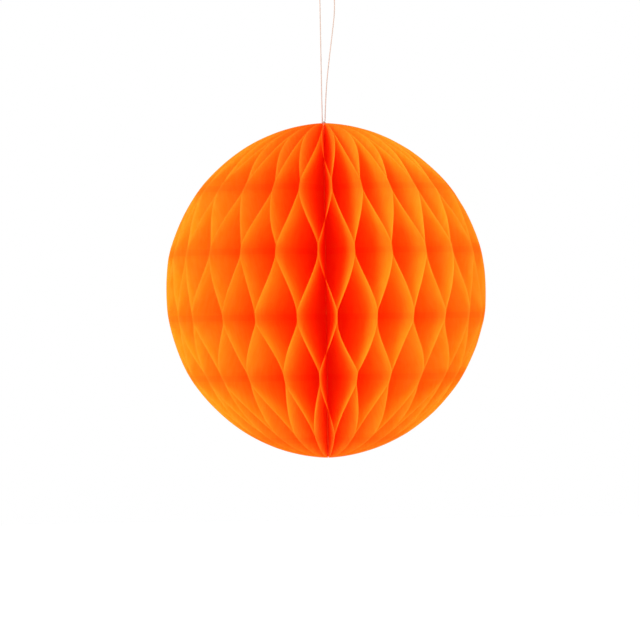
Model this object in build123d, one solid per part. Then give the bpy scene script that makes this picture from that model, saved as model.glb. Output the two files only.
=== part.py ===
from build123d import *
import math
import os

os.makedirs("parts", exist_ok=True)

# A paper honeycomb ball that hangs on a thread. Fifty half-round tissue leaves are glued
# face to face along short bands, bound along their straight edges, and opened round like a
# fan until the two end cards meet. Sizes are in mm and Z is up. The origin is the hook that
# holds the thread's loop.

# The ball
ball_radius = 50.0
binding_margin = 2.1
core_radius = 1.0
leaf_count = 50
leaf_thickness = 0.08
seam_angle = 94.7
edge_step = 6.0

# The glue bands, counted down from the top of the ball
first_band_drop = 0.8
band_pitch = 19.0
band_width = 4.2
band_count = 6

# The end cards and the sticky pads that hold them together
card_thickness = 0.3
card_edge_radius = 3.6
pad_size = 8.0
pad_thickness = 0.2
pad_pitch = 28.0
pad_radius = 26.0

# The threads
loop_height = 44.0
spine_thread_radius = 0.5
spine_thread_inset = 0.7
thread_radius = 0.17
knot_radius = 0.72
knot_height = 1.3
knot_neck = 0.6

first_band_z = ball_radius - first_band_drop
bands = [first_band_z - band_pitch * i for i in range(band_count)]
seam_offset = pad_thickness / 2 + card_thickness
leaf_angle = 360.0 / leaf_count
ball_z = -(loop_height + ball_radius)
spine_thread_length = 2 * (ball_radius - spine_thread_inset)
spine_top = ball_z + spine_thread_length / 2
knot_top = spine_top + knot_height

# Where the leaf's round edge meets its bound edge
tip_width = 0.4
tip_z = math.sqrt(ball_radius**2 - (binding_margin + core_radius + tip_width) ** 2)


def reach(z):
    """How far a leaf's round edge lies from the ball's axis at height z."""
    return math.sqrt(ball_radius**2 - z**2) - binding_margin


def row_heights():
    """Heights where a leaf creases or its round edge turns, from the bottom up."""
    edges = []
    for z in bands:
        edges += [z - band_width / 2, z + band_width / 2]
    edges = [z for z in edges if abs(z) < tip_z] + [-tip_z, tip_z]
    rows = list(edges)
    steps = int(90 / edge_step)
    for step in range(-steps, steps + 1):
        z = ball_radius * math.sin(math.radians(edge_step * step))
        if abs(z) < tip_z and min(abs(z - e) for e in edges) > 0.6:
            rows.append(z)
    return sorted(rows)


def odd_share(z):
    """0 where a leaf lies on its even-numbered glue plane, 1 on its odd-numbered one."""
    if z >= bands[0]:
        return 0.0
    for upper in range(band_count - 1):
        top = bands[upper] - band_width / 2
        bottom = bands[upper + 1] + band_width / 2
        start = upper % 2
        if z > top:
            return float(start)
        if z > bottom:
            along = (top - z) / (top - bottom)
            return start + (1 - 2 * start) * along
    return float((band_count - 1) % 2)


def plane_offset(k):
    """Glue plane k passes this far from the axis, so that the end cards have their room."""
    return seam_offset * (1 - 2 * k / leaf_count)


def plane_point(k, r, z, proud=0.0):
    """The point of glue plane k at distance r and height z, raised by proud."""
    angle = math.radians(seam_angle + leaf_angle * k)
    away = plane_offset(k) + proud
    x = r * math.cos(angle) - away * math.sin(angle)
    y = r * math.sin(angle) + away * math.cos(angle)
    return Vector(x, y, z + ball_z)


def leaf_point(k, r, z, front):
    """A point of leaf k's front or back, on its way between glue planes k - 1 and k."""
    share = odd_share(z) if k % 2 else 1 - odd_share(z)
    near = plane_point(k - 1, r, z, leaf_thickness if front else 0.0)
    far = plane_point(k, r, z, 0.0 if front else -leaf_thickness)
    return near * (1 - share) + far * share


def facet(*points):
    return Face(Wire.make_polygon(points, close=True))


def patch(a, b, c, d, flat):
    """The four-cornered patch a, b, c, d as one flat face, or as two triangles."""
    if flat:
        return [facet(a, b, c, d)]
    return [facet(a, b, c), facet(a, c, d)]


def make_leaf(k):
    """Leaf k: a half-round tissue that steps between its two glue planes band by band."""
    faces = []
    rows = row_heights()
    for low, high in zip(rows, rows[1:]):
        flat = odd_share(low + 0.001) == odd_share(high - 0.001)
        f1 = leaf_point(k, core_radius, low, True)
        f2 = leaf_point(k, reach(low), low, True)
        f3 = leaf_point(k, reach(high), high, True)
        f4 = leaf_point(k, core_radius, high, True)
        b1 = leaf_point(k, core_radius, low, False)
        b2 = leaf_point(k, reach(low), low, False)
        b3 = leaf_point(k, reach(high), high, False)
        b4 = leaf_point(k, core_radius, high, False)
        faces += patch(f1, f2, f3, f4, flat)
        faces += patch(b1, b2, b3, b4, flat)
        faces += patch(f2, b2, b3, f3, flat)
        faces += patch(f1, b1, b4, f4, flat)
        if low == rows[0]:
            faces.append(facet(f1, f2, b2, b1))
        if high == rows[-1]:
            faces.append(facet(f4, f3, b3, b4))
    return Solid(Shell(faces))


def make_card(k, side):
    """The end card glued outside glue plane k: a stiff sheet, cut half round like the leaves
    but short of the spine, so that the two cards clear each other when the ball is folded."""
    rows = [z for z in row_heights() if reach(z) > card_edge_radius + tip_width]
    points = [plane_point(k, reach(z), z) for z in rows]
    points.append(plane_point(k, card_edge_radius, rows[-1]))
    points.append(plane_point(k, card_edge_radius, rows[0]))
    angle = math.radians(seam_angle)
    normal = Vector(-math.sin(angle), math.cos(angle), 0) * side
    return Solid.extrude(facet(*points), normal * card_thickness)


def make_pad(z):
    """A sticky pad between the two end cards."""
    angle = math.radians(seam_angle)
    along = Vector(math.cos(angle), math.sin(angle), 0)
    across = Vector(-math.sin(angle), math.cos(angle), 0)
    middle = along * pad_radius + Vector(0, 0, z + ball_z)
    pad_plane = Plane(origin=middle, x_dir=along, z_dir=across)
    return pad_plane * Box(pad_size, pad_size, pad_thickness)


def make_spine_thread():
    """The binding thread down the middle of the ball."""
    return Pos(0, 0, ball_z) * Cylinder(spine_thread_radius, spine_thread_length)


def make_knot():
    """The knot that ties the thread's two ends together over the top of the spine."""
    outline = Polyline(
        (0, spine_top),
        (knot_neck, spine_top),
        (knot_radius, spine_top + 0.3 * knot_height),
        (knot_radius, spine_top + 0.7 * knot_height),
        (knot_neck + thread_radius / 2, knot_top),
        (0, knot_top),
        (0, spine_top),
    )
    profile = Plane.XZ * make_face(outline)
    return revolve(profile, Axis.Z)


def thread_points():
    """The taut strand runs up to the hook, and the slack one bows out on its way down."""
    return [
        (-0.45, knot_top),
        (-0.70, 0.70),
        (0.70, 0.70),
        (2.30, -2.20),
        (3.45, -5.60),
        (3.35, -10.8),
        (2.67, -17.0),
        (1.67, -24.4),
        (0.89, -31.2),
        (0.45, -37.4),
        (0.30, knot_top),
    ]


def turn_radii(points):
    """Each bend is as wide as its two runs allow."""
    radii = []
    for a, b, c in zip(points, points[1:], points[2:]):
        before = Vector(b[0] - a[0], b[1] - a[1])
        after = Vector(c[0] - b[0], c[1] - b[1])
        half_turn = math.radians(before.get_angle(after)) / 2
        shorter = min(before.length, after.length)
        radii.append(0.45 * shorter / math.tan(half_turn))
    return radii


def make_thread():
    """The hanging thread: up over the hook and back down to the knot."""
    points = thread_points()
    radii = turn_radii(points)
    print("thread bends", [round(r, 2) for r in radii])
    route = FilletPolyline(*[(x, 0, z) for x, z in points], radius=radii)
    print("thread length", round(route.length, 1))
    start = Plane(origin=route @ 0, z_dir=route % 0)
    return sweep(start * Circle(thread_radius), path=route)


for k in range(1, leaf_count + 1):
    export_step(make_leaf(k), "parts/leaf_%02d.step" % k)

export_step(make_card(0, -1), "parts/card_first.step")
export_step(make_card(leaf_count, 1), "parts/card_last.step")

for i, name in enumerate(("upper", "middle", "lower")):
    export_step(make_pad(pad_pitch * (1 - i)), "parts/pad_%s.step" % name)

export_step(make_spine_thread(), "parts/spine_thread.step")
export_step(make_knot(), "parts/thread_knot.step")
export_step(make_thread(), "parts/hanging_thread.step")
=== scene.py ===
import bpy
import math
import numpy as np
from mathutils import Matrix, Vector


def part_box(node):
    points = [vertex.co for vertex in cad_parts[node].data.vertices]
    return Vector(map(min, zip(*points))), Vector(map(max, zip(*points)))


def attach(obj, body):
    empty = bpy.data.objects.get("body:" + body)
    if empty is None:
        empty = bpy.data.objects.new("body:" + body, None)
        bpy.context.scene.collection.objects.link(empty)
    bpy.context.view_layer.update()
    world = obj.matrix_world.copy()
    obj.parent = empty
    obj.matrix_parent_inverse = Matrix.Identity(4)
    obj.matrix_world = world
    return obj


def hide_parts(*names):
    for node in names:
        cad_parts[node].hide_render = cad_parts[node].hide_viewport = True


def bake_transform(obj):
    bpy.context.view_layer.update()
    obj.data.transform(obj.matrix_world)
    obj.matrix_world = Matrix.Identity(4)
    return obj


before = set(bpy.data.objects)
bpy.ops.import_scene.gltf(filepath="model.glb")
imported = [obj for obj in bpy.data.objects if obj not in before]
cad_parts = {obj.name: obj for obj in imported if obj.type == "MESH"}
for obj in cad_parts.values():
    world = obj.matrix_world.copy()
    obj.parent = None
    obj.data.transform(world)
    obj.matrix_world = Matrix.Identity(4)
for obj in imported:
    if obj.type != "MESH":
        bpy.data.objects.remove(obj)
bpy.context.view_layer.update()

# The view. The ball hangs level with the eye, well back, and leans a little to the left, as a
# ball does on a kinked thread. One frame's width covers 191 mm at the ball.
leaf_low, leaf_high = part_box("leaf_01")
ball_middle = Vector((0, 0, (leaf_low[2] + leaf_high[2]) / 2))
frame_width = 0.191
eye_distance = 1.3
lean = math.radians(0.82)
left_of_ball = 0.00176
below_ball = 0.00884
sensor_width = 36
view_right = Vector((math.cos(lean), 0, -math.sin(lean)))
view_up = Vector((math.sin(lean), 0, math.cos(lean)))
view_back = Vector((0, -1, 0))
aim = ball_middle - view_right * left_of_ball - view_up * below_ball
camera_data = bpy.data.cameras.new("camera")
camera_data.sensor_width = sensor_width
camera_data.lens = sensor_width * eye_distance / frame_width
camera_data.clip_start = 0.05
camera_data.clip_end = 20
camera = bpy.data.objects.new("camera", camera_data)
bpy.context.collection.objects.link(camera)
turned = Matrix((view_right, view_up, view_back)).transposed().to_4x4()
camera.matrix_world = Matrix.Translation(aim + view_back * eye_distance) @ turned
bpy.context.scene.camera = camera

# The studio. Even white light all round, with one large soft lamp high on the left, a weaker
# one on the right, and two behind that show through the outermost leaves.
bpy.context.scene.view_settings.view_transform = "Standard"
world = bpy.data.worlds.new("studio")
world.use_nodes = True
world.node_tree.nodes["Background"].inputs["Color"].default_value = (1, 1, 1, 1)
world.node_tree.nodes["Background"].inputs["Strength"].default_value = 1.0
bpy.context.scene.world = world


def soft_lamp(name, place, size, watts):
    """A square area lamp at place, facing the ball."""
    data = bpy.data.lights.new(name, "AREA")
    data.shape = "SQUARE"
    data.size = size
    data.energy = watts
    lamp = bpy.data.objects.new(name, data)
    lamp.location = place
    lamp.rotation_euler = (ball_middle - Vector(place)).to_track_quat("-Z", "Y").to_euler()
    bpy.context.collection.objects.link(lamp)


soft_lamp("lamp_high_left", (-0.7, -0.9, 0.6), 0.7, 12)
soft_lamp("lamp_low_right", (0.9, -0.6, -0.2), 0.6, 3)
soft_lamp("lamp_back_left", (-0.9, 0.8, 0.1), 0.6, 6)
soft_lamp("lamp_back_right", (0.9, 0.8, 0.1), 0.6, 4)

# The hanging thread. One fine two-ply thread, pale pink-brown, leaves the knot at the top of
# the ball, runs straight up over the hook and comes back down slack, bowed to the right.
thread_width = 0.00034
thread_lay = 0.0011
knot_low, knot_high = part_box("thread_knot")
knot_top = knot_high[2]
thread_points = [
    (-0.00035, 0, knot_top),
    (-0.00042, 0, -0.0370),
    (-0.00048, 0, -0.0250),
    (-0.00054, 0, -0.0120),
    (-0.00060, 0, -0.0020),
    (-0.00060, 0, 0.00070),
    (0.00080, 0, 0.00070),
    (0.00250, 0, -0.00220),
    (0.00375, 0, -0.00560),
    (0.00380, 0, -0.01080),
    (0.00305, 0, -0.01700),
    (0.00203, 0, -0.02440),
    (0.00120, 0, -0.03120),
    (0.00072, 0, -0.03740),
    (0.00045, 0, knot_top),
]


def surface(name, points, around=False):
    """A smooth mesh over a grid of points, rows by columns. With around, the last column
    joins the first, as on a tube."""
    rows, across = points.shape[:2]
    index = np.arange(rows * across).reshape(rows, across)
    if around:
        index = np.concatenate([index, index[:, :1]], axis=1)
    a, b = index[:-1, :-1], index[:-1, 1:]
    c, d = index[1:, 1:], index[1:, :-1]
    faces = np.stack([a, b, c, d], axis=-1).reshape(-1, 4)
    mesh = bpy.data.meshes.new(name)
    mesh.from_pydata(points.reshape(-1, 3).tolist(), [], faces.tolist())
    mesh.shade_smooth()
    piece = bpy.data.objects.new(name, mesh)
    bpy.context.collection.objects.link(piece)
    return piece


def new_material(name):
    """A material with its nodes, its links and its Principled shader."""
    made = bpy.data.materials.new(name)
    made.use_nodes = True
    nodes = made.node_tree.nodes
    return made, nodes, made.node_tree.links, nodes["Principled BSDF"]


def smooth_line(points, steps):
    """The points of the smooth curve that has these as its control points."""
    data = bpy.data.curves.new("line", "CURVE")
    data.dimensions = "3D"
    data.resolution_u = steps
    spline = data.splines.new("NURBS")
    spline.points.add(len(points) - 1)
    spline.points.foreach_set("co", np.column_stack([points, np.ones(len(points))]).ravel())
    spline.order_u = 3
    spline.use_endpoint_u = True
    holder = bpy.data.objects.new("line", data)
    mesh = bpy.data.meshes.new_from_object(holder)
    line = np.empty(len(mesh.vertices) * 3)
    mesh.vertices.foreach_get("co", line)
    bpy.data.objects.remove(holder)
    bpy.data.meshes.remove(mesh)
    bpy.data.curves.remove(data)
    return line.reshape(-1, 3)


def plied(name, line, width, plies, lay, beside):
    """A twisted thread along a line, and its length. At arc length s and angle a round the
    line, its surface lies width / 2 * (0.8 + 0.2 * |cos(plies / 2 * (a - 2 pi s / lay))|) away.
    Both ends close to a point. It carries the map "twist": angle across, arc length up."""
    sides = 16
    step = np.linalg.norm(np.diff(line, axis=0), axis=1)
    s = np.concatenate([[0], np.cumsum(step)])
    along = np.gradient(line, axis=0)
    along /= np.linalg.norm(along, axis=1)[:, None]
    side = np.cross(along, beside)
    side /= np.linalg.norm(side, axis=1)[:, None]
    other = np.cross(along, side)
    a = np.linspace(0, 2 * np.pi, sides, endpoint=False)
    twist = plies / 2 * (a[None, :] - 2 * np.pi * s[:, None] / lay)
    out = width / 2 * (0.8 + 0.2 * np.abs(np.cos(twist)))[..., None]
    ring = np.cos(a)[None, :, None] * side[:, None] + np.sin(a)[None, :, None] * other[:, None]
    rings = line[:, None] + out * ring
    first = np.broadcast_to(line[0], (1, sides, 3))
    last = np.broadcast_to(line[-1], (1, sides, 3))
    piece = surface(name, np.concatenate([first, rings, last]), around=True)
    twist_map = piece.data.uv_layers.new(name="twist")
    corner = np.empty(len(piece.data.loops), int)
    piece.data.loops.foreach_get("vertex_index", corner)
    across = (corner % sides) / sides
    up = np.concatenate([[0], s, [s[-1]]])[corner // sides] / (np.pi * width)
    twist_map.data.foreach_set("uv", np.column_stack([across, up]).ravel())
    return piece, s[-1]


thread_line = smooth_line(thread_points, 24)
thread, thread_length = plied("thread", thread_line, thread_width, 2, thread_lay, (0, 1, 0))


def ramp(nodes, low, high, dark, light):
    """A colour ramp from dark at low to light at high."""
    made = nodes.new("ShaderNodeValToRGB")
    made.color_ramp.elements[0].position = low
    made.color_ramp.elements[0].color = (*dark, 1)
    made.color_ramp.elements[1].position = high
    made.color_ramp.elements[1].color = (*light, 1)
    return made


def relief(nodes, links, shader, height, strength, depth):
    """Raise the surface where height is high, by up to depth."""
    made = nodes.new("ShaderNodeBump")
    made.inputs["Strength"].default_value = strength
    made.inputs["Distance"].default_value = depth
    links.new(height, made.inputs["Height"])
    links.new(made.outputs["Normal"], shader.inputs["Normal"])


thread_material, nodes, links, shader = new_material("thread_pale")
twist_map = nodes.new("ShaderNodeUVMap")
twist_map.uv_map = "twist"
hairs = nodes.new("ShaderNodeTexNoise")
hairs.inputs["Scale"].default_value = 3.0
hairs.inputs["Detail"].default_value = 3.0
hair_tone = ramp(nodes, 0.3, 0.7, (0.34, 0.24, 0.19), (0.56, 0.43, 0.36))
relief(nodes, links, shader, hairs.outputs["Fac"], 0.5, 0.00003)
links.new(twist_map.outputs["UV"], hairs.inputs["Vector"])
links.new(hairs.outputs["Fac"], hair_tone.inputs["Fac"])
links.new(hair_tone.outputs["Color"], shader.inputs["Base Color"])
shader.inputs["Roughness"].default_value = 0.65

thread.data.materials.append(thread_material)
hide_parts("hanging_thread")
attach(thread, "hanger")

# The thread's knot. The two ends of the hanging thread are tied in one tight overhand knot,
# which sits on top of the binding thread and keeps the loop from pulling out.
knot_middle = (knot_low[2] + knot_high[2]) / 2
ring_radius = 0.00036
ring_swing = 0.00018
knot_rise = 0.00042
t = np.linspace(0, 2 * np.pi, 97)
knot_radius = ring_radius + ring_swing * np.cos(3 * t)
knot_x = knot_radius * np.cos(2 * t)
knot_y = knot_radius * np.sin(2 * t)
knot_z = knot_middle + knot_rise * np.sin(3 * t)
knot_line = np.column_stack([knot_x, knot_y, knot_z])
knot, _ = plied("knot", knot_line, thread_width, 2, thread_lay, (0, 0, 1))
knot.data.materials.append(thread_material)
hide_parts("thread_knot")
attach(knot, "hanger")

# The binding thread. A thicker three-ply orange cotton runs down the spine of the ball and
# holds the straight edges of all fifty leaves, which turn about it.
spine_low, spine_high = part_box("spine_thread")
spine_rings = 260
spine_lay = 0.0034
spine_z = np.linspace(spine_low[2], spine_high[2], spine_rings)
spine_line = np.column_stack([np.zeros(spine_rings), np.zeros(spine_rings), spine_z])
spine_width = spine_high[0] - spine_low[0]
binding, _ = plied("binding_thread", spine_line, spine_width, 3, spine_lay, (0, 1, 0))

binding_material, nodes, links, shader = new_material("cotton_orange")
twist_map = nodes.new("ShaderNodeUVMap")
twist_map.uv_map = "twist"
lint = nodes.new("ShaderNodeTexNoise")
lint.inputs["Scale"].default_value = 4.0
lint_tone = ramp(nodes, 0, 1, (0.80, 0.16, 0.01), (0.95, 0.32, 0.04))
links.new(twist_map.outputs["UV"], lint.inputs["Vector"])
links.new(lint.outputs["Fac"], lint_tone.inputs["Fac"])
links.new(lint_tone.outputs["Color"], shader.inputs["Base Color"])
shader.inputs["Roughness"].default_value = 0.8

binding.data.materials.append(binding_material)
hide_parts("spine_thread")
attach(binding, "core")

# The tissue leaves. Each is one half-round sheet of thin orange tissue. It is glued by turns
# to the leaf behind and the leaf ahead along six bands, so it steps from one glue plane to
# the next as it goes down, and two leaves always enclose a row of pointed cells.
leaf_count = 50
leaf_angle = 2 * math.pi / leaf_count
seam_angle = math.radians(94.7)
ball_radius = 0.050
binding_margin = 0.0021
tip_radius = 0.0014
least_width = 0.0002
rim_slack = 0.0002
rim_wave = 0.00004
wave_count = 6
belly_spread = 0.5
belly_limit = 1.1
sheet_gap = 0.00007
leaf_rows = 181
inner_columns = 5
outer_columns = 17

# The inner edge runs close to the binding thread, a little further out beside the knot. From
# bend_radius on, the leaves lie clear of the end cards.
core_radius = 0.0006
knot_clearance = 0.0004
knot_reach = 0.0465
seam_offset = 0.0004
card_edge_radius = 0.0036
bend_radius = card_edge_radius - 0.0001

# The glue bands, by their height from the ball's middle, and how far, in degrees, each glue
# line strays from its even place. Odd planes are glued at odd bands and even planes at even
# ones, and where a plane has no glue it takes the mean of its neighbours.
band_heights = np.array((0.0492, 0.0304, 0.0115, -0.0079, -0.0257, -0.0444))
band_width = 0.0034
band_count = len(band_heights)
stray_spread = 0.8
chance = np.random.default_rng(7)
stray = chance.normal(0, stray_spread, (band_count, leaf_count + 1))
stray[1, 15:35:2] = (-2.6, -2.2, 0.0, 0.7, -1.6, -1.4, -2.4, -3.0, -3.0, -3.2)
stray[2, 16:36:2] = (-1.3, -0.9, -0.8, -1.2, -0.3, -1.4, -1.75, -1.65, -2.0, -0.4)
stray[3, 17:35:2] = (-3.2, -1.35, -1.9, -0.7, -0.9, -0.9, -1.05, -0.55, 0.6)
stray[4, 18:34:2] = (-3.2, -2.8, -1.0, -0.7, 0.4, 0.5, 1.7, 3.0)
stray[:, [0, 1, -2, -1]] = 0
unglued = np.arange(band_count)[:, None] % 2 != np.arange(leaf_count + 1)[None, :] % 2
mean = stray.copy()
mean[:, 1:-1] = (stray[:, :-2] + stray[:, 2:]) / 2
stray = np.radians(np.where(unglued, mean, stray))


def bands_down(z):
    """How many bands down from the first band height z is, and the way t from that band to
    the next, 0 while the sheet lies on the one and 1 once it lies on the other."""
    down = np.interp(-z, -band_heights, np.arange(band_count))
    band = np.minimum(np.floor(down), band_count - 2).astype(int)
    half = band_width / (band_heights[band] - band_heights[band + 1]) / 2
    return band, np.clip((down - band - half) / (1 - 2 * half), 0, 1)


def odd_share(z):
    """0 on a leaf's even-numbered glue plane, 1 on its odd one, and between two bands a
    mix of a straight run t and an eased one, t * t * (3 - 2 * t)."""
    band, t = bands_down(z)
    eased = 0.75 * t + 0.25 * t * t * (3 - 2 * t)
    return band % 2 + (1 - 2 * (band % 2)) * eased


def stray_at(k, z):
    """The stray of glue plane k at height z, eased from one band's to the next one's."""
    band, t = bands_down(z)
    eased = t * t * (3 - 2 * t)
    return stray[band, k] * (1 - eased) + stray[band + 1, k] * eased


def round_axis(turns, r, z, lift):
    """Points at distance r and height z, turned round the axis by so many leaves' angles from
    the seam. Beyond bend_radius they pass beside the axis by what the end cards need, which
    goes from seam_offset to minus that as the turns go round. It eases out towards the spine,
    and lift adds to it."""
    angle = seam_angle + leaf_angle * turns
    near = np.clip((r - core_radius) / (bend_radius - core_radius), 0, 1)
    away = seam_offset * (1 - 2 * turns / leaf_count) * near * near * (3 - 2 * near) + lift
    x = r * np.cos(angle) - away * np.sin(angle)
    y = r * np.sin(angle) + away * np.cos(angle)
    return np.stack([x, y, z + ball_middle.z], axis=-1)


def sheet(k):
    """Leaf k on a grid, rows up the ball and columns from the spine out to the rim. Its way
    goes from 0 on the glue plane behind to 1 on the one ahead, with their strays, and between
    bands it bellies by up to a degree or so: its own amount * 4 t (1 - t) * r / rim. Between
    bands the round edge draws in too, by 0.2 mm * 4 t (1 - t) and a small wave. At the top the
    inner edge keeps clear of the knot."""
    tip = math.sqrt(ball_radius**2 - (binding_margin + tip_radius) ** 2)
    turn = np.linspace(-1, 1, leaf_rows)[:, None] * math.asin(tip / ball_radius)
    height = ball_radius * np.sin(turn)
    band, t = bands_down(height)
    between = 4 * t * (1 - t)
    wave = chance.normal(0, 1, (wave_count, 1, 1))
    beat = 2 + 3 * np.arange(wave_count).reshape(wave_count, 1, 1)
    wave = wave * np.cos(turn * beat + wave * 9)
    slack = rim_wave * np.abs(wave.sum(axis=0)) + rim_slack * between
    reach = core_radius + knot_clearance * np.clip((height - knot_reach) / 0.001, 0, 1)
    rim = np.maximum(ball_radius * np.cos(turn) - binding_margin - slack, reach + least_width)
    bend = np.minimum(bend_radius, np.maximum(rim - 0.0003, (reach + rim) / 2))
    inner = reach + (bend - reach) * np.linspace(0, 1, inner_columns)[None, :-1]
    outer = bend + (rim - bend) * np.linspace(0, 1, outer_columns)[None, :] ** 0.9
    r = np.concatenate([inner, outer], axis=1)
    z = np.broadcast_to(height, r.shape)
    share = odd_share(z) if k % 2 else 1 - odd_share(z)
    belly = chance.normal(0, belly_spread, band_count).clip(-belly_limit, belly_limit)
    belly = np.radians(belly)[band] * between * r / rim
    turned = stray_at(k - 1, z) * (1 - share) + stray_at(k, z) * share + belly
    way = share + turned / leaf_angle
    lift = sheet_gap * (0.5 - share) * (r / ball_radius) ** 2
    points = round_axis(k - 1 + way, r, z, lift)
    band_gap = np.abs(z[..., None] - band_heights).min(axis=-1)
    return points, way, rim - r, band_gap, r, z


# The look of paper held up to the light: a cloudy unevenness and short fibres lying mostly
# one way. Both the tissue and the card have it.
fibre_group = bpy.data.node_groups.new("paper_fibres", "ShaderNodeTree")
for socket in ("Cloud Scale", "Fibre Scale", "Sheet"):
    fibre_group.interface.new_socket(socket, in_out="INPUT", socket_type="NodeSocketFloat")
fibre_group.interface.new_socket("Vector", in_out="INPUT", socket_type="NodeSocketVector")
fibre_group.interface.new_socket("Cloud", in_out="OUTPUT", socket_type="NodeSocketFloat")
fibre_group.interface.new_socket("Fibre", in_out="OUTPUT", socket_type="NodeSocketFloat")
group_in = fibre_group.nodes.new("NodeGroupInput")
group_out = fibre_group.nodes.new("NodeGroupOutput")
cloud = fibre_group.nodes.new("ShaderNodeTexNoise")
cloud.noise_dimensions = "4D"
cloud.inputs["Detail"].default_value = 2.0
lie = fibre_group.nodes.new("ShaderNodeMapping")
lie.inputs["Rotation"].default_value = (0, 0, 0.25)
lie.inputs["Scale"].default_value = (1.0, 0.22, 1.0)
fibre = fibre_group.nodes.new("ShaderNodeTexNoise")
fibre.noise_dimensions = "4D"
fibre.inputs["Detail"].default_value = 2.0
fibre.inputs["Distortion"].default_value = 0.4
for start, end in (
    (group_in.outputs["Vector"], cloud.inputs["Vector"]),
    (group_in.outputs["Sheet"], cloud.inputs["W"]),
    (group_in.outputs["Cloud Scale"], cloud.inputs["Scale"]),
    (group_in.outputs["Vector"], lie.inputs["Vector"]),
    (lie.outputs["Vector"], fibre.inputs["Vector"]),
    (group_in.outputs["Sheet"], fibre.inputs["W"]),
    (group_in.outputs["Fibre Scale"], fibre.inputs["Scale"]),
    (cloud.outputs["Fac"], group_out.inputs["Cloud"]),
    (fibre.outputs["Fac"], group_out.inputs["Fibre"]),
):
    fibre_group.links.new(start, end)


def fade(nodes, links, source, near, far, amount):
    """A mask that falls from amount to 0 as source goes from near to far."""
    made = nodes.new("ShaderNodeMapRange")
    made.inputs["From Min"].default_value = near
    made.inputs["From Max"].default_value = far
    made.inputs["To Min"].default_value = amount
    made.inputs["To Max"].default_value = 0.0
    links.new(source, made.inputs["Value"])
    return made.outputs["Result"]


def tinted(nodes, links, colour, mask, tint):
    """The colour, turned towards the tint where the mask is high."""
    made = nodes.new("ShaderNodeMix")
    made.data_type = "RGBA"
    made.inputs["B"].default_value = (*tint, 1)
    links.new(mask, made.inputs["Factor"])
    links.new(colour, made.inputs["A"])
    return made.outputs["Result"]


def attribute(nodes, name):
    """The value of a piece's own attribute."""
    made = nodes.new("ShaderNodeAttribute")
    made.attribute_name = name
    return made.outputs["Fac"]


def fibres_on_sheet(nodes, links, cloud_scale, fibre_scale):
    """The paper's fibres, laid out on the flat sheet."""
    flat = nodes.new("ShaderNodeUVMap")
    flat.uv_map = "sheet"
    made = nodes.new("ShaderNodeGroup")
    made.node_tree = fibre_group
    made.inputs["Cloud Scale"].default_value = cloud_scale
    made.inputs["Fibre Scale"].default_value = fibre_scale
    links.new(flat.outputs["UV"], made.inputs["Vector"])
    return made


tissue, nodes, links, shader = new_material("tissue_orange")
fibres = fibres_on_sheet(nodes, links, 26.0, 120.0)
links.new(attribute(nodes, "sheet_number"), fibres.inputs["Sheet"])
cloud_tone = ramp(nodes, 0.3, 0.7, (1.0, 0.265, 0.005), (1.0, 0.315, 0.008))
links.new(fibres.outputs["Cloud"], cloud_tone.inputs["Fac"])
fibre_mask = fade(nodes, links, fibres.outputs["Fibre"], 0.35, 0.6, 0.25)
fibre_colour = tinted(nodes, links, cloud_tone.outputs["Color"], fibre_mask, (1.0, 0.38, 0.03))
glue_mask = fade(nodes, links, attribute(nodes, "band_gap"), 0.0008, 0.0010, 0.3)
glue_colour = tinted(nodes, links, fibre_colour, glue_mask, (0.97, 0.2, 0.006))
# Painted highlight: within about 0.9 mm of the round edge the tissue turns lighter and paler.
# This stands in for light catching the leaf's edge.
rim_edge_highlight_mask = fade(nodes, links, attribute(nodes, "rim_gap"), 0.0002, 0.0009, 0.13)
tissue_colour = tinted(nodes, links, glue_colour, rim_edge_highlight_mask, (1.0, 0.5, 0.06))
relief(nodes, links, shader, fibres.outputs["Fibre"], 0.35, 0.00004)
links.new(tissue_colour, shader.inputs["Base Color"])
shader.inputs["Roughness"].default_value = 0.85
shader.inputs["Specular IOR Level"].default_value = 0.1
# Painted glow: a faint deep-red emission stands in for the light bounced many times deep inside
# the cells.
shader.inputs["Emission Color"].default_value = (1.0, 0.012, 0.0, 1)
shader.inputs["Emission Strength"].default_value = 0.14
glow = nodes.new("ShaderNodeBsdfTranslucent")
both = nodes.new("ShaderNodeMixShader")
both.inputs["Fac"].default_value = 0.36
links.new(tissue_colour, glow.inputs["Color"])
links.new(shader.outputs["BSDF"], both.inputs[1])
links.new(glow.outputs["BSDF"], both.inputs[2])
links.new(both.outputs["Shader"], nodes["Material Output"].inputs["Surface"])


def mark(mesh, name, values):
    """Give the mesh an attribute with one value for each of its points."""
    made = mesh.attributes.new(name, "FLOAT", "POINT")
    made.data.foreach_set("value", np.ravel(values).astype(np.float32))


def flat_map(mesh, across, up):
    """Give the mesh the map "sheet", the flat sheet it was cut from, 125 mm to the unit."""
    units = 1 / 0.125
    corner = np.empty(len(mesh.loops), int)
    mesh.loops.foreach_get("vertex_index", corner)
    flat = np.column_stack([np.ravel(across) * units, np.ravel(up) * units + 0.5])[corner]
    mesh.uv_layers.new(name="sheet").data.foreach_set("uv", flat.ravel())


pattern_step = 1.7
for k in range(1, leaf_count + 1):
    points, way, rim_gap, band_gap, r, z = sheet(k)
    leaf = surface("tissue_leaf_%02d" % k, points)
    mark(leaf.data, "rim_gap", rim_gap)
    mark(leaf.data, "band_gap", band_gap)
    mark(leaf.data, "sheet_number", np.full(r.shape, pattern_step * k))
    flat_map(leaf.data, r, z)
    leaf.data.materials.append(tissue)
    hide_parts("leaf_%02d" % k)
    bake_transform(leaf)

# The end cards. Two stiff half-round cards, dyed to match, close the ball's first and last
# leaf. They are cut like the leaves but short of the spine, and meet at the back.
card_thickness = 0.0003
card_rounding = 0.00008
card_rows = 121
card_columns = 12


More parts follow.
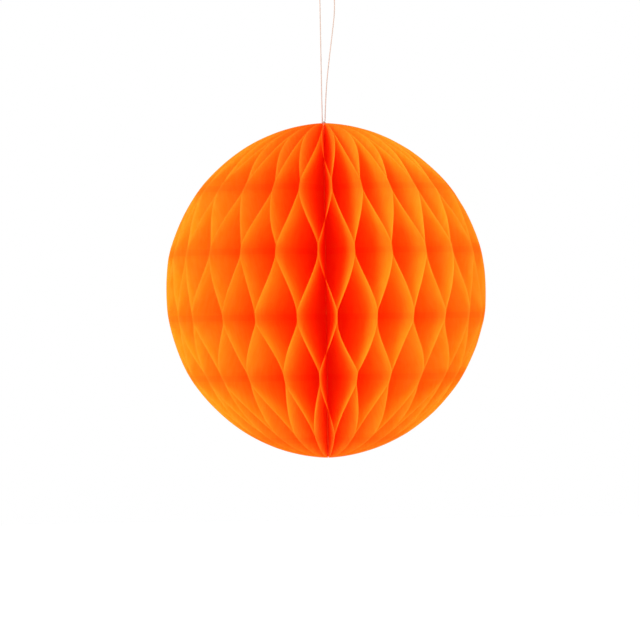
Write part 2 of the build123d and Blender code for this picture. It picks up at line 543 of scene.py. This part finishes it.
def card(name, k, side):
    """A card on glue plane k as a closed shell: rows run up it, and columns go out along one
    face, round the cut edge, and back along the other. Each end closes to a point."""
    tip = math.sqrt(ball_radius**2 - (binding_margin + card_edge_radius) ** 2)
    turn = np.linspace(-1, 1, card_rows)[:, None] * math.asin(tip / ball_radius)
    rim = ball_radius * np.cos(turn) - binding_margin
    span = rim - card_edge_radius
    soft = np.minimum(card_rounding, span / 2)
    u = np.linspace(0, 1, card_columns)[None, :]
    run = card_edge_radius + soft + (span - 2 * soft) * u
    inner = card_edge_radius + 0 * rim
    r = np.concatenate([inner, run, rim, rim, run[:, ::-1], inner], axis=1)
    half = card_thickness / 2
    crown = 0.6 * half
    flat = np.full(card_columns, half)
    deep = np.concatenate([[-crown], -flat, [-crown, crown], flat, [crown]])
    z = np.broadcast_to(ball_radius * np.sin(turn), r.shape)
    points = round_axis(k, r, z, deep + side * half)
    low = np.broadcast_to(points[:1].mean(axis=1, keepdims=True), points[:1].shape)
    high = np.broadcast_to(points[-1:].mean(axis=1, keepdims=True), points[-1:].shape)
    piece = surface(name, np.concatenate([low, points, high]), around=True)
    edge = np.minimum(rim - r, r - card_edge_radius)
    mark(piece.data, "rim_gap", np.concatenate([edge[:1], edge, edge[-1:]]))
    flat_map(piece.data, np.concatenate([r[:1], r, r[-1:]]), np.concatenate([z[:1], z, z[-1:]]))
    return piece


card_orange, nodes, links, shader = new_material("card_orange")
fibres = fibres_on_sheet(nodes, links, 18.0, 90.0)
card_tone = ramp(nodes, 0.3, 0.7, (0.74, 0.085, 0.003), (0.82, 0.11, 0.005))
links.new(fibres.outputs["Cloud"], card_tone.inputs["Fac"])
fibre_mask = fade(nodes, links, fibres.outputs["Fibre"], 0.35, 0.55, 0.3)
fibre_colour = tinted(nodes, links, card_tone.outputs["Color"], fibre_mask, (0.90, 0.17, 0.015))
cut_mask = fade(nodes, links, attribute(nodes, "rim_gap"), 0.00002, 0.00007, 0.8)
card_colour = tinted(nodes, links, fibre_colour, cut_mask, (0.92, 0.5, 0.22))
card_rough = nodes.new("ShaderNodeMapRange")
card_rough.inputs["To Min"].default_value = 0.6
card_rough.inputs["To Max"].default_value = 0.8
relief(nodes, links, shader, fibres.outputs["Fibre"], 0.4, 0.00004)
links.new(fibres.outputs["Cloud"], card_rough.inputs["Value"])
links.new(card_rough.outputs["Result"], shader.inputs["Roughness"])
links.new(card_colour, shader.inputs["Base Color"])
shader.inputs["Specular IOR Level"].default_value = 0.12

first_card = card("end_card_first", 0, -1)
first_card.data.materials.append(card_orange)
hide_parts("card_first")
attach(first_card, "core")

last_card = card("end_card_last", leaf_count, 1)
last_card.data.materials.append(card_orange)
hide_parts("card_last")
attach(last_card, "plane_50")

# The sticky pads. Three thin squares of white foam tape on the first card hold the two cards
# together while the ball is open.
pad_half_thickness = 0.0001
pad_edge_draw = 0.6
pad_sides = 48
pad_material, nodes, links, shader = new_material("foam_white")
coords = nodes.new("ShaderNodeTexCoord")
pores = nodes.new("ShaderNodeTexVoronoi")
pores.inputs["Scale"].default_value = 1800.0
# Painted shade: the white foam is darker in the hollows of its pores, where the bump sets the
# surface lowest.
pore_shade_tone = ramp(nodes, 0.05, 0.5, (0.70, 0.68, 0.64), (0.90, 0.89, 0.86))
relief(nodes, links, shader, pores.outputs["Distance"], 0.4, 0.00005)
links.new(coords.outputs["Object"], pores.inputs["Vector"])
links.new(pores.outputs["Distance"], pore_shade_tone.inputs["Fac"])
links.new(pore_shade_tone.outputs["Color"], shader.inputs["Base Color"])
shader.inputs["Roughness"].default_value = 0.7


def pad(name, node):
    """A square pad with rounded corners and edges. At angle a and way p from its middle it
    lies at half its width * p * (cos a, sin a) / (|cos a|**8 + |sin a|**8) ** (1 / 8), and its
    faces draw in by pad_edge_draw * p**14 of half its thickness."""
    low, high = (np.array(c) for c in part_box(node))
    middle = (low + high) / 2
    half = (high[2] - low[2]) / 2
    a = np.linspace(0, 2 * np.pi, pad_sides, endpoint=False)[None, :]
    p = np.array([0, 0.3, 0.6, 0.85, 0.94, 0.98, 1])[:, None]
    square = (np.abs(np.cos(a)) ** 8 + np.abs(np.sin(a)) ** 8) ** (-1 / 8)
    along = half * p * square * np.cos(a)
    up = half * p * square * np.sin(a)
    across = pad_half_thickness * (1 - pad_edge_draw * p**14) + 0 * a
    along = np.concatenate([along, along[::-1]])
    up = np.concatenate([up, up[::-1]])
    across = np.concatenate([across, -across[::-1]])
    x = middle[0] + along * math.cos(seam_angle) - across * math.sin(seam_angle)
    y = middle[1] + along * math.sin(seam_angle) + across * math.cos(seam_angle)
    return surface(name, np.stack([x, y, middle[2] + up], axis=-1), around=True)


for place in ("upper", "middle", "lower"):
    piece = pad("sticky_pad_" + place, "pad_" + place)
    piece.data.materials.append(pad_material)
    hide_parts("pad_" + place)
    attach(piece, "core")

# The floor. A plain white board, some way below the ball.
floor_reach = 3
floor_height = -0.3
floor_corners = [
    (-floor_reach, -floor_reach, floor_height),
    (floor_reach, -floor_reach, floor_height),
    (floor_reach, floor_reach, floor_height),
    (-floor_reach, floor_reach, floor_height),
]
floor_mesh = bpy.data.meshes.new("floor")
floor_mesh.from_pydata(floor_corners, [], [(0, 1, 2, 3)])
floor = bpy.data.objects.new("floor", floor_mesh)
bpy.context.collection.objects.link(floor)
floor_material, nodes, links, shader = new_material("floor_white")
shader.inputs["Base Color"].default_value = (1, 1, 1, 1)
shader.inputs["Roughness"].default_value = 0.9
floor.data.materials.append(floor_material)
